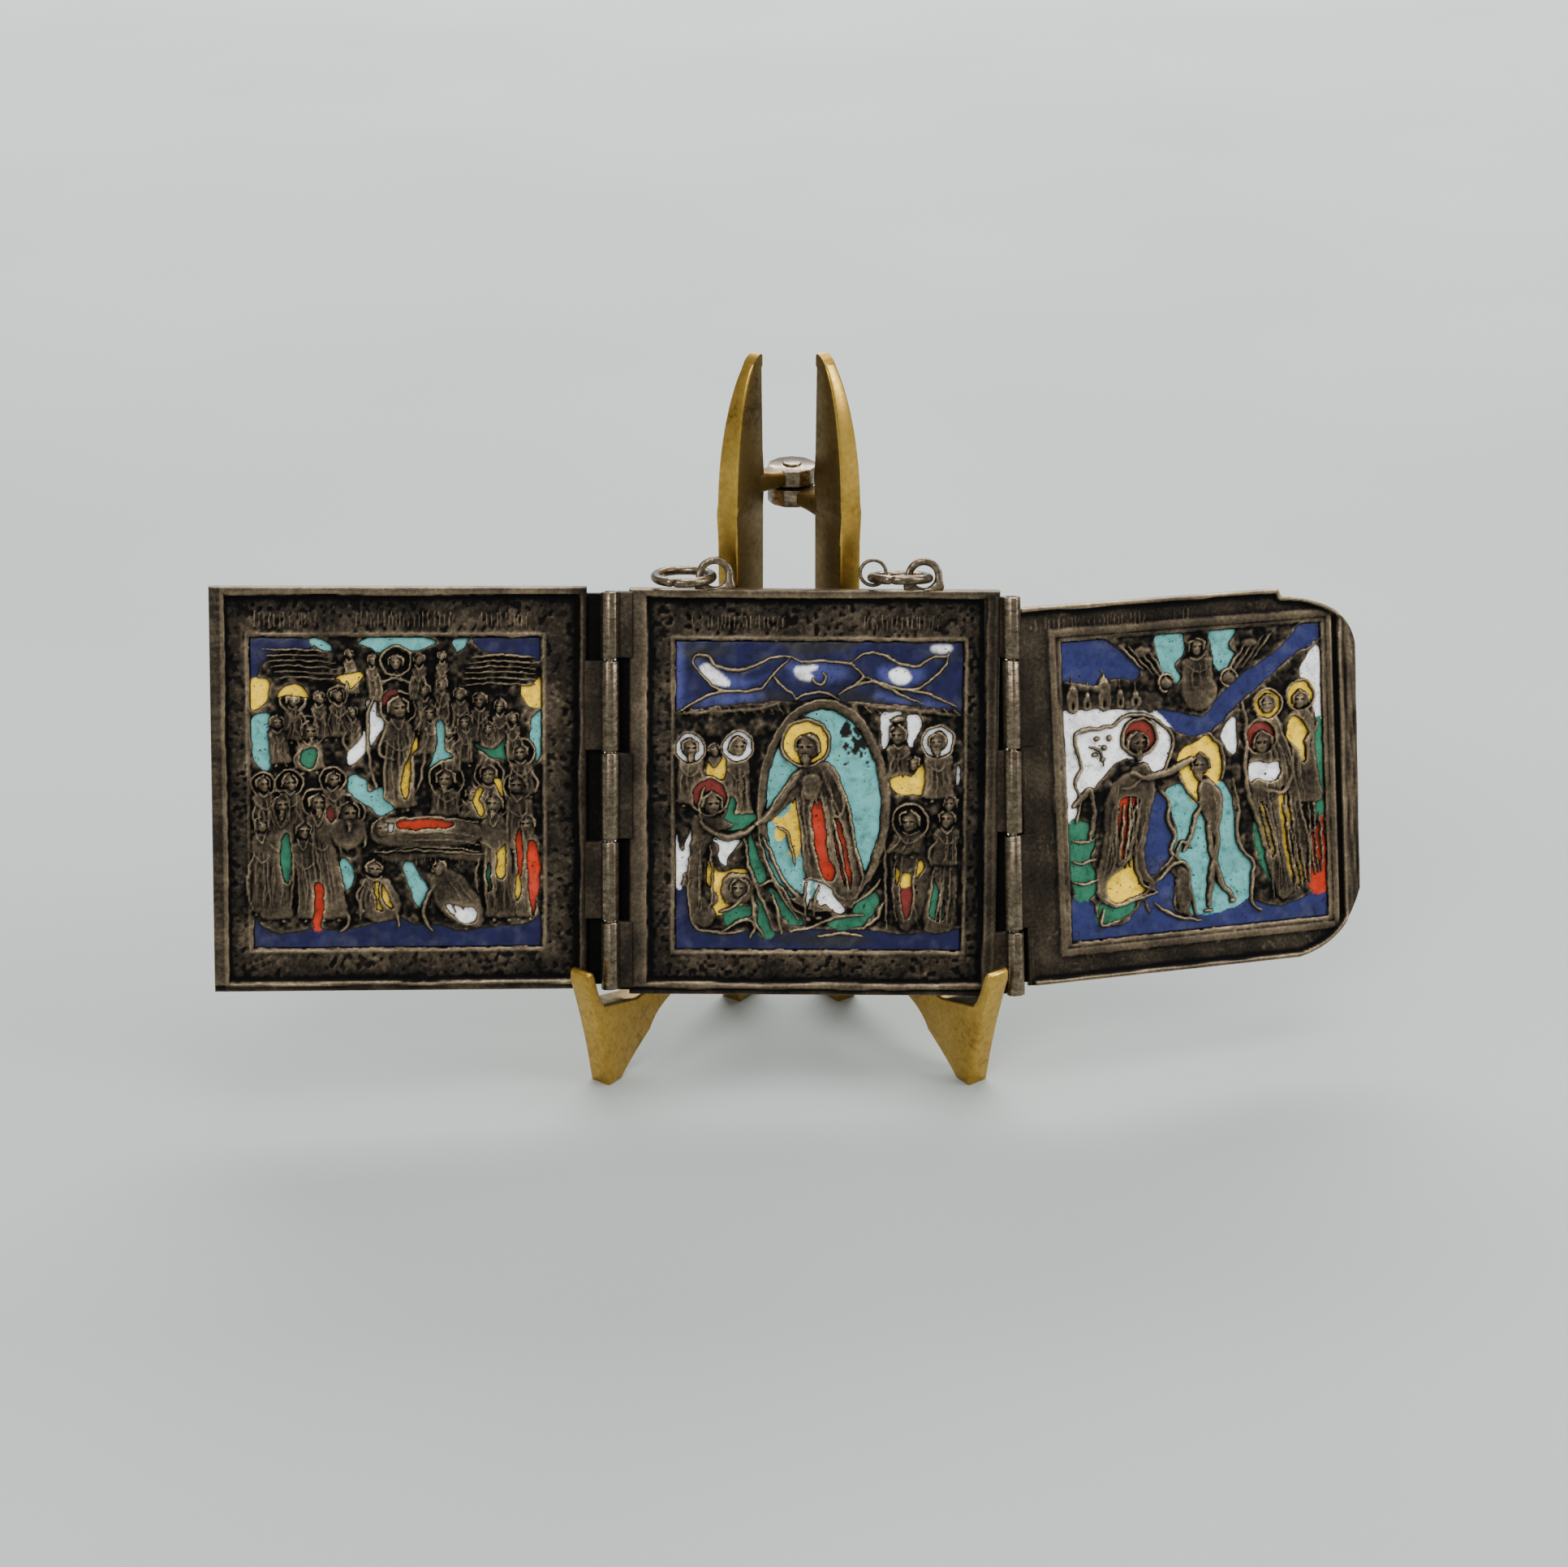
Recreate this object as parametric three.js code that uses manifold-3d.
// A small cast-brass travelling icon with three hinged leaves, standing open on a folding brass easel.
// Millimetres, +Z up, +Y away from the viewer. The origin is at the bottom centre of the whole object's box.
import * as THREE from 'three';
import { mergeVertices } from 'three/addons/utils/BufferGeometryUtils.js';
import Module from 'manifold-3d';

const wasm = await Module();
wasm.setup();

const radians = THREE.MathUtils.degToRad;

// ---------------------------------------------------------------- driving dimensions
// How the icon stands in the easel.
const leafLean = radians(18.5); // leaves lean back from upright
const leafRoll = radians(0.34); // the icon sits a little out of level
const leafShift = 3.3; // centre leaf's middle, to the right of the easel's middle
const ledgeHeight = 13.3; // front bottom edge of the centre leaf above the ground
const restGap = 0.3; // gap kept where two pieces touch

// Centre leaf: a shallow tray, in its own frame: x right, y into the metal, z up its face.
const centreLeft = -25.0;
const centreRight = 24.6;
const leafHeight = 55.0;
const centreThickness = 4.2;
const borderDepth = 0.7; // pitted border below the rim's front
const pictureDepth = 1.5; // enamelled ground below the rim's front
const centreRim = { left: 2.6, right: 2.0, bottom: 1.9, top: 1.3 };

// Picture fields, all nearly the same size.
const centrePicture = { left: -18.7, bottom: 6.2, width: 38.5, height: 41.8 };
const leftPicture = { left: -47.7, bottom: 6.6, width: 38.5, height: 41.8 };
const rightPicture = { left: 9.0, bottom: 6.5, width: 38.0, height: 41.0 };
const beadWidth = 0.9; // thin raised bead framing a picture
const beadGap = 0.25; // between the bead's inner edge and the picture

// Left wing: the outermost cover, measured from its hinge axis.
const leftWing = { near: 3.0, far: 53.0, bottom: 0.7, top: 55.2, setBack: 1.2, thickness: 3.4 };
const leftRim = { left: 2.2, right: 1.3, bottom: 1.5, top: 1.3 };
const leftSwing = radians(4.7); // stands this far forward of the centre leaf's plane

// Right wing: the thin inner cover, with rounded free corners.
const rightWing = { near: 2.4, far: 52.3, bottom: 1.1, top: 52.6, setBack: 0.1, thickness: 2.1 };
const rightCornerTop = 8.5;
const rightCornerBottom = 10.0;
const rightStrip = { width: 3.0, drop: 0.5 }; // lower step along the free edge
const rightSwing = radians(15.9); // stands this far behind the centre leaf's plane
const rightAxisTilt = radians(-1.5); // the right hinge was filed out of square
const rightWingSkew = radians(-1.9); // and its leaf sits askew on the knuckles

// Hinges: five filed knuckles each, on a plain wire pin.
const leftAxis = { x: -27.5, depth: -1.0 };
const rightAxis = { x: 27.4, depth: 0.0 };
const leftKnuckleEnds = [0.9, 10.3, 21.2, 33.2, 45.6, 54.8];
const rightKnuckleEnds = [0.2, 9.1, 22.3, 33.8, 45.9, 54.4];
const knuckleRadius = 1.35;
const knuckleSides = 10;
const knuckleGap = 0.3;
const pinRadius = 0.6;
const pinClearance = 0.09;
const pinSides = 16;

// Suspension lugs on the top edge, their rings and a thin wire ring.
const lugPlaces = [-13.6, 14.4];
const lug = { radius: 2.5, centre: 56.8, hole: 1.5, thickness: 1.5, front: 1.0, foot: 7.0 };
const ringWire = 0.65;
const ringRadius = 3.75;
const ringHeight = 56.6;
const leftRingTilt = radians(10.2);
const rightRingTilt = radians(1.5);
const leftRingEnd = -14.0; // where each ring's wire goes through its lug
const rightRingEnd = 15.0;
const wireRing = { radius: 1.7, wire: 0.25, x: 7.6, height: 57.25 };

// Easel: two plates that open as a V from an upright hinge at the back.
const plateAngle = radians(37); // each plate from the middle plane
const plateThickness = 3.4;
const plateEdge = 0.35; // small chamfer all round
const plateApex = 33.84; // the plates' middle planes meet this far behind the leaf's bottom edge
const easelHeight = 95.5;
const post = { rear: 8.2, front: 13.85, hornFoot: 74.0, hornTip: 9.0 };
const foot = { rear: 40.4, front: 43.0 };
const lip = { tip: 46.3, back: 44.4, height: 18.9 };
const seat = { front: 43.4, frontHeight: 12.95, rear: 22.0, rearHeight: 12.0 };
const arch = { rear: 15.6, height: 9.2, shoulder: 5.0 };
const easelHinge = { x: 0.4, y: 31.6, radius: 3.4, top: 78.2, middle: 75.7, bottom: 73.0, gap: 0.35 };
const rivet = { radius: 1.3, clearance: 0.1 };

// Finishes.
const darkBrass = { color: 0x4a3b2c, roughness: 0.5, metalness: 0.9 };
const paleBrass = { color: 0x8a7a5c, roughness: 0.45, metalness: 0.9 };
const goldBrass = { color: 0xa8842f, roughness: 0.35, metalness: 1.0 };

// ---------------------------------------------------------------- solids
// A closed three.js geometry becomes a solid that can be joined and cut.
function solid(geometry) {
  const bare = geometry.clone();
  bare.deleteAttribute('normal');
  bare.deleteAttribute('uv');
  const merged = mergeVertices(bare, 1e-4);
  const mesh = new wasm.Mesh({
    numProp: 3,
    vertProperties: new Float32Array(merged.attributes.position.array),
    triVerts: new Uint32Array(merged.index.array),
  });
  return new wasm.Manifold(mesh);
}

function geometryOf(body) {
  const mesh = body.getMesh();
  const geometry = new THREE.BufferGeometry();
  geometry.setAttribute('position', new THREE.BufferAttribute(mesh.vertProperties, 3));
  geometry.setIndex(new THREE.BufferAttribute(mesh.triVerts, 1));
  geometry.computeVertexNormals();
  return geometry;
}

function piece(name, geometry, finish) {
  const mesh = new THREE.Mesh(geometry, new THREE.MeshStandardMaterial(finish));
  mesh.name = name;
  return mesh;
}

// A block from low to high corner.
function block(x0, x1, y0, y1, z0, z1) {
  const box = new THREE.BoxGeometry(x1 - x0, y1 - y0, z1 - z0);
  box.translate((x0 + x1) / 2, (y0 + y1) / 2, (z0 + z1) / 2);
  return solid(box);
}

// An outline drawn in x and z, as thick as from front to back in y.
function plate(shape, front, back, curveSegments = 6) {
  const body = new THREE.ExtrudeGeometry(shape, { depth: back - front, bevelEnabled: false, curveSegments });
  body.rotateX(Math.PI / 2);
  body.translate(0, back, 0);
  return solid(body);
}

// A cylinder along z at a place in x and y.
function rod(x, y, z0, z1, radius, sides) {
  const body = new THREE.CylinderGeometry(radius, radius, z1 - z0, sides);
  body.rotateX(Math.PI / 2);
  body.translate(x, y, (z0 + z1) / 2);
  return solid(body);
}

function disc(x, z, radius, front, back, sides) {
  const shape = new THREE.Shape();
  for (let i = 0; i < sides; i += 1) {
    const turn = (2 * Math.PI * i) / sides;
    const move = i === 0 ? 'moveTo' : 'lineTo';
    shape[move](x + radius * Math.cos(turn), z + radius * Math.sin(turn));
  }
  return plate(shape, front, back);
}

function joined(bodies) {
  return bodies.reduce((whole, body) => whole.add(body));
}

// ---------------------------------------------------------------- relief
// A low-relief standing figure: a robe widening to its hem, a head, and a halo behind the head.
function figure(field, place) {
  const { x, base, tall, lean = 0, halo = true } = place;
  const cx = field.left + x * field.width;
  const foot = field.bottom + base * field.height;
  const height = tall * field.height;
  const half = height * 0.17;
  const top = cx + lean * height;
  const robe = new THREE.Shape();
  robe.moveTo(cx - half * 1.15, foot);
  robe.lineTo(cx + half * 1.15, foot);
  robe.lineTo(cx + (top - cx) * 0.5 + half * 0.9, foot + height * 0.45);
  robe.lineTo(top + half, foot + height * 0.68);
  robe.lineTo(top + half * 0.35, foot + height * 0.78);
  robe.lineTo(top - half * 0.35, foot + height * 0.78);
  robe.lineTo(top - half, foot + height * 0.68);
  robe.lineTo(cx + (top - cx) * 0.5 - half * 0.9, foot + height * 0.45);
  robe.closePath();
  const ground = pictureDepth + 0.2;
  const bodies = [plate(robe, pictureDepth - 0.45, ground)];
  bodies.push(disc(top, foot + height * 0.88, height * 0.09, pictureDepth - 0.6, ground, 8));
  if (halo) bodies.push(disc(top, foot + height * 0.88, height * 0.16, pictureDepth - 0.2, ground, 12));
  return joined(bodies);
}

// A raised bead round a picture field.
function bead(field) {
  const outer = beadWidth + beadGap;
  const frame = block(
    field.left - outer, field.left + field.width + outer,
    borderDepth - 0.35, pictureDepth + 0.2,
    field.bottom - outer, field.bottom + field.height + outer,
  );
  const opening = block(
    field.left - beadGap, field.left + field.width + beadGap,
    borderDepth - 1, pictureDepth + 1,
    field.bottom - beadGap, field.bottom + field.height + beadGap,
  );
  return frame.subtract(opening);
}

function sunkPicture(field) {
  return block(
    field.left - beadGap, field.left + field.width + beadGap,
    -1, pictureDepth,
    field.bottom - beadGap, field.bottom + field.height + beadGap,
  );
}

// An oval ring of light round the central figure.
function glory(field) {
  const cx = field.left + 0.515 * field.width;
  const cz = field.bottom + 0.47 * field.height;
  const oval = (wide, tall, front, back) => {
    const shape = new THREE.Shape();
    shape.absellipse(cx, cz, wide, tall, 0, 2 * Math.PI, false, 0);
    return plate(shape, front, back, 14);
  };
  const ring = oval(9.2, 14.6, pictureDepth - 0.5, pictureDepth + 0.2);
  return ring.subtract(oval(8.1, 13.4, -1, pictureDepth + 1));
}

// ---------------------------------------------------------------- hinges
// Knuckles numbered first, first + 2, ... of a hinge, bored for the pin, each with an arm to its leaf.
function knuckles(axis, ends, first, armReach, armBack) {
  const bodies = [];
  for (let i = first; i < ends.length - 1; i += 2) {
    const low = ends[i] + (i === 0 ? 0 : knuckleGap / 2);
    const high = ends[i + 1] - (i === ends.length - 2 ? 0 : knuckleGap / 2);
    const barrel = rod(axis.x, axis.depth, low, high, knuckleRadius, knuckleSides);
    const armStart = Math.min(axis.x, armReach);
    const armEnd = Math.max(axis.x, armReach);
    const arm = block(armStart, armEnd, axis.depth + 0.1, armBack, low, high);
    const bore = rod(axis.x, axis.depth, low - 1, high + 1, pinRadius + pinClearance, pinSides);
    bodies.push(barrel.add(arm).subtract(bore));
  }
  return bodies;
}

function hingePin(name, ends) {
  const pin = new THREE.CylinderGeometry(pinRadius, pinRadius, ends[5] - ends[0], pinSides);
  pin.rotateX(Math.PI / 2);
  pin.translate(0, 0, (ends[0] + ends[5]) / 2);
  return piece(name, pin, paleBrass);
}

// ---------------------------------------------------------------- centre leaf
function suspensionLug(x) {
  const ear = new THREE.Shape();
  const half = lug.foot / 2;
  ear.moveTo(x - half, leafHeight - 0.6);
  ear.lineTo(x + half, leafHeight - 0.6);
  ear.lineTo(x + half, leafHeight + 0.1);
  ear.quadraticCurveTo(x + lug.radius, leafHeight + 0.2, x + lug.radius, lug.centre);
  ear.absarc(x, lug.centre, lug.radius, 0, Math.PI, false);
  ear.quadraticCurveTo(x - lug.radius, leafHeight + 0.2, x - half, leafHeight + 0.1);
  ear.closePath();
  const hole = new THREE.Path();
  hole.absarc(x, lug.centre, lug.hole, 0, 2 * Math.PI, true);
  ear.holes.push(hole);
  return plate(ear, lug.front, lug.front + lug.thickness, 7);
}

function centreLeaf() {
  const body = block(centreLeft, centreRight, 0, centreThickness, 0, leafHeight);
  const tray = block(
    centreLeft + centreRim.left, centreRight - centreRim.right,
    -1, borderDepth,
    centreRim.bottom, leafHeight - centreRim.top,
  );
  const people = [
    { x: 0.48, base: 0.14, tall: 0.66, lean: -0.04 },
    { x: 0.1, base: 0.1, tall: 0.46, lean: 0.05 },
    { x: 0.06, base: 0.5, tall: 0.26 },
    { x: 0.22, base: 0.5, tall: 0.26 },
    { x: 0.22, base: 0.07, tall: 0.3, halo: false },
    { x: 0.77, base: 0.5, tall: 0.28 },
    { x: 0.92, base: 0.5, tall: 0.28 },
    { x: 0.83, base: 0.08, tall: 0.42 },
    { x: 0.95, base: 0.1, tall: 0.36, halo: false },
  ];
  const relief = people.map((place) => figure(centrePicture, place));
  const reach = centreLeft + 0.4;
  const leftBarrels = knuckles(leftAxis, leftKnuckleEnds, 0, reach, 2.2);
  const lugs = lugPlaces.map(suspensionLug);
  let leaf = body.subtract(tray).add(bead(centrePicture)).subtract(sunkPicture(centrePicture));
  leaf = joined([leaf, glory(centrePicture), ...relief, ...lugs, ...leftBarrels]);
  return leaf;
}

// The right-hand knuckles follow the right hinge's own tilt.
function tilted(body, axis, tilt) {
  const degrees = THREE.MathUtils.radToDeg(tilt);
  return body.translate([-axis.x, 0, 0]).rotate([0, degrees, 0]).translate([axis.x, 0, 0]);
}

// ---------------------------------------------------------------- wings, drawn from their hinge axis
const wingAxis = { x: 0, depth: 0 };

function leftWingBody() {
  const front = leftWing.setBack;
  const body = block(-leftWing.far, -leftWing.near, 0, leftWing.thickness, leftWing.bottom, leftWing.top);
  const tray = block(
    -leftWing.far + leftRim.left, -leftWing.near - leftRim.right,
    -1, borderDepth,
    leftWing.bottom + leftRim.bottom, leftWing.top - leftRim.top,
  );
  const people = [
    { x: 0.48, base: 0.42, tall: 0.46 },
    { x: 0.07, base: 0.08, tall: 0.42 },
    { x: 0.18, base: 0.06, tall: 0.44, lean: 0.08 },
    { x: 0.3, base: 0.1, tall: 0.34, lean: 0.1, halo: false },
    { x: 0.19, base: 0.5, tall: 0.3 },
    { x: 0.85, base: 0.06, tall: 0.46, lean: -0.06 },
    { x: 0.95, base: 0.08, tall: 0.5 },
    { x: 0.68, base: 0.42, tall: 0.22 },
    { x: 0.42, base: 0.07, tall: 0.26, lean: 0.12 },
    { x: 0.62, base: 0.08, tall: 0.24, lean: -0.12, halo: false },
  ];
  const relief = people.map((place) => figure(leftPicture, place));
  const couch = block(
    leftPicture.left + 0.4 * leftPicture.width, leftPicture.left + 0.8 * leftPicture.width,
    pictureDepth - 0.4, pictureDepth + 0.2,
    leftPicture.bottom + 0.35 * leftPicture.height, leftPicture.bottom + 0.42 * leftPicture.height,
  );
  let wing = body.subtract(tray).add(bead(leftPicture)).subtract(sunkPicture(leftPicture));
  wing = joined([wing, couch, ...relief]).translate([0, front, 0]);
  const barrels = knuckles(wingAxis, leftKnuckleEnds, 1, -leftWing.near - 0.4, front + 2.0);
  return joined([wing, ...barrels]);
}

function rightOutline() {
  const { near, far, bottom, top } = rightWing;
  const outline = new THREE.Shape();
  outline.moveTo(near + 2.2, bottom);
  outline.lineTo(far - rightCornerBottom, bottom);
  outline.quadraticCurveTo(far - 2, bottom + 1.6, far, bottom + rightCornerBottom);
  outline.lineTo(far, top - rightCornerTop);
  outline.quadraticCurveTo(far - 0.6, top - 2.2, far - rightCornerTop - 2.6, top - 1.0);
  outline.lineTo(far - rightCornerTop - 3.0, top);
  outline.lineTo(near + 2.2, top);
  outline.closePath();
  return outline;
}

function rightWingBody() {
  const front = rightWing.setBack;
  const body = plate(rightOutline(), 0, rightWing.thickness, 6);
  const strip = block(
    rightWing.far - rightStrip.width, rightWing.far + 1,
    -1, rightStrip.drop,
    0, leafHeight,
  );
  const groove = borderDepth - 0.25;
  const border = block(
    rightPicture.left - 2.6, rightPicture.left + rightPicture.width + 1.4,
    -1, groove,
    rightPicture.bottom - 3.4, rightPicture.bottom + rightPicture.height + 3.6,
  );
  const people = [
    { x: 0.28, base: 0.16, tall: 0.56, lean: 0.04 },
    { x: 0.54, base: 0.07, tall: 0.56 },
    { x: 0.78, base: 0.1, tall: 0.56 },
    { x: 0.9, base: 0.14, tall: 0.68 },
    { x: 0.76, base: 0.55, tall: 0.24 },
    { x: 0.52, base: 0.78, tall: 0.2, halo: false },
  ];
  const relief = people.map((place) => figure(rightPicture, place));
  let wing = body.subtract(strip).subtract(border).add(bead(rightPicture));
  wing = wing.subtract(sunkPicture(rightPicture));
  wing = joined([wing, ...relief]).translate([0, front, 0]);
  const skew = THREE.MathUtils.radToDeg(rightWingSkew);
  const turned = wing.rotate([0, skew, 0]);
  const barrels = knuckles(wingAxis, rightKnuckleEnds, 1, rightWing.near + 3.4, front + 1.6);
  return joined([turned, ...barrels]);
}

// ---------------------------------------------------------------- easel
// Side outline of one plate: distance out from the V's apex, and height.
function easelOutline() {
  const shape = new THREE.Shape();
  shape.moveTo(foot.rear, 0);
  shape.lineTo(foot.front, 0);
  shape.quadraticCurveTo(foot.front + 1.2, lip.height * 0.45, lip.tip + 0.5, lip.height - 1.6);
  shape.quadraticCurveTo(lip.tip + 0.9, lip.height, lip.tip - 0.2, lip.height);
  shape.quadraticCurveTo(lip.tip - 0.9, lip.height, lip.tip - 1.1, lip.height - 1.4);
  shape.quadraticCurveTo(lip.back - 0.1, seat.frontHeight + 0.6, seat.front, seat.frontHeight);
  shape.lineTo(seat.front - 6.5, seat.frontHeight - 1.8);
  shape.lineTo(seat.rear, seat.rearHeight);
  shape.quadraticCurveTo(post.front, seat.rearHeight + 1.0, post.front, seat.rearHeight + 12);
  shape.lineTo(post.front, post.hornFoot);
  const hornSteps = 8;
  const hornRise = easelHeight - post.hornFoot;
  for (let i = 1; i <= hornSteps; i += 1) {
    const turn = (0.92 * Math.PI * i) / (2 * hornSteps);
    const out = post.rear + (post.front - post.rear) * Math.cos(turn);
    shape.lineTo(out, post.hornFoot + (hornRise * Math.sin(turn)) / Math.sin(0.46 * Math.PI));
  }
  shape.lineTo(post.rear, easelHeight - 0.3);
  shape.lineTo(post.rear - 0.4, post.hornFoot + 4);
  shape.lineTo(post.rear, seat.rearHeight);
  shape.lineTo(post.rear + 0.8, 0);
  shape.lineTo(arch.rear - 1.8, 0);
  shape.lineTo(arch.rear - 0.4, arch.shoulder);
  shape.quadraticCurveTo(arch.rear, arch.height, arch.rear + 5.5, arch.height);
  shape.quadraticCurveTo(arch.rear + 16, arch.height, foot.rear - 6.4, 4.8);
  shape.quadraticCurveTo(foot.rear - 2.6, 2.4, foot.rear, 0);
  return shape;
}

function easelPlate(side) {
  const body = new THREE.ExtrudeGeometry(easelOutline(), {
    depth: plateThickness - 2 * plateEdge,
    bevelEnabled: true,
    bevelThickness: plateEdge,
    bevelSize: plateEdge,
    bevelOffset: -plateEdge,
    bevelSegments: 1,
    curveSegments: 7,
  });
  body.translate(0, 0, -plateThickness / 2 + plateEdge);
  body.rotateX(Math.PI / 2); // outline height becomes z
  const turn = -Math.PI / 2 + side * plateAngle; // points forward and out
  body.rotateZ(turn);
  body.translate(0, plateApex, 0);
  return solid(body);
}

function hingeLug(side, low, high) {
  const barrel = rod(easelHinge.x, easelHinge.y, low, high, easelHinge.radius, 20);
  const away = post.rear + 0.9;
  const x = side * away * Math.sin(plateAngle);
  const y = plateApex - away * Math.cos(plateAngle);
  const arm = new THREE.BoxGeometry(5.4, 4.6, high - low);
  arm.translate(2.2, 0, 0);
  arm.rotateZ(Math.atan2(easelHinge.y - y, easelHinge.x - x));
  arm.translate(x, y, (low + high) / 2);
  return barrel.add(solid(arm));
}

function easelSide(side, low, high) {
  const bore = rod(easelHinge.x, easelHinge.y, low - 1, high + 1, rivet.radius + rivet.clearance, 20);
  const blade = easelPlate(side);
  const keep = rod(easelHinge.x, easelHinge.y, 0, easelHeight + 1, easelHinge.radius + restGap, 20);
  return blade.subtract(keep).add(hingeLug(side, low, high)).subtract(bore);
}

// ---------------------------------------------------------------- assembly
const { top: lugTop, middle: lugMiddle, bottom: lugBottom, gap: lugSlit } = easelHinge;
const leftSide = easelSide(-1, lugMiddle + lugSlit / 2, lugTop);
const rightSide = easelSide(1, lugBottom, lugMiddle - lugSlit / 2);
const stand = new THREE.Group();
stand.add(piece('easel_left_plate', geometryOf(leftSide), goldBrass));
stand.add(piece('easel_right_plate', geometryOf(rightSide), goldBrass));
const rivetBody = rod(easelHinge.x, easelHinge.y, lugBottom - 0.3, lugTop + 0.3, rivet.radius, 20);
stand.add(piece('easel_rivet', geometryOf(rivetBody), goldBrass));

const icon = new THREE.Group();
icon.position.set(leafShift, 0, ledgeHeight);
icon.rotation.x = -leafLean;
const leaves = new THREE.Group();
leaves.rotation.y = leafRoll;
icon.add(leaves);

const rightBarrels = knuckles(rightAxis, rightKnuckleEnds, 0, centreRight - 1.2, 2.2);
const rightBarrelsTilted = rightBarrels.map((body) => tilted(body, rightAxis, rightAxisTilt));
const centre = joined([centreLeaf(), ...rightBarrelsTilted]);
leaves.add(piece('centre_leaf', geometryOf(centre), darkBrass));

const leftHinge = new THREE.Group();
leftHinge.position.set(leftAxis.x, leftAxis.depth, 0);
leftHinge.add(hingePin('left_hinge_pin', leftKnuckleEnds));
const leftWingMesh = piece('left_wing', geometryOf(leftWingBody()), darkBrass);
leftWingMesh.rotation.z = leftSwing;
leftHinge.add(leftWingMesh);
leaves.add(leftHinge);

const rightHinge = new THREE.Group();
rightHinge.position.set(rightAxis.x, rightAxis.depth, 0);
rightHinge.rotation.y = rightAxisTilt;
rightHinge.add(hingePin('right_hinge_pin', rightKnuckleEnds));
const rightWingMesh = piece('right_wing', geometryOf(rightWingBody()), darkBrass);
rightWingMesh.rotation.z = rightSwing;
rightHinge.add(rightWingMesh);
leaves.add(rightHinge);

// Each ring hangs through its lug and lies back on the leaf's top edge.
function ring(name, x, tilt) {
  const mesh = piece(name, new THREE.TorusGeometry(ringRadius, ringWire, 8, 24), paleBrass);
  mesh.position.set(x, lug.front + lug.thickness / 2, ringHeight);
  mesh.rotation.x = tilt;
  return mesh;
}
leaves.add(ring('left_ring', leftRingEnd - ringRadius, leftRingTilt));
leaves.add(ring('right_ring', rightRingEnd - ringRadius, rightRingTilt));

const thinRing = piece('wire_ring', new THREE.TorusGeometry(wireRing.radius, wireRing.wire, 6, 18), paleBrass);
thinRing.position.set(wireRing.x, lug.front + lug.thickness / 2, wireRing.height);
thinRing.rotation.x = Math.PI / 2;
leaves.add(thinRing);

const group = new THREE.Group();
group.add(stand);
group.add(icon);
group.updateMatrixWorld(true);
const bounds = new THREE.Box3().setFromObject(group, true);
group.position.set(-(bounds.min.x + bounds.max.x) / 2, -(bounds.min.y + bounds.max.y) / 2, -bounds.min.z);

export default group;
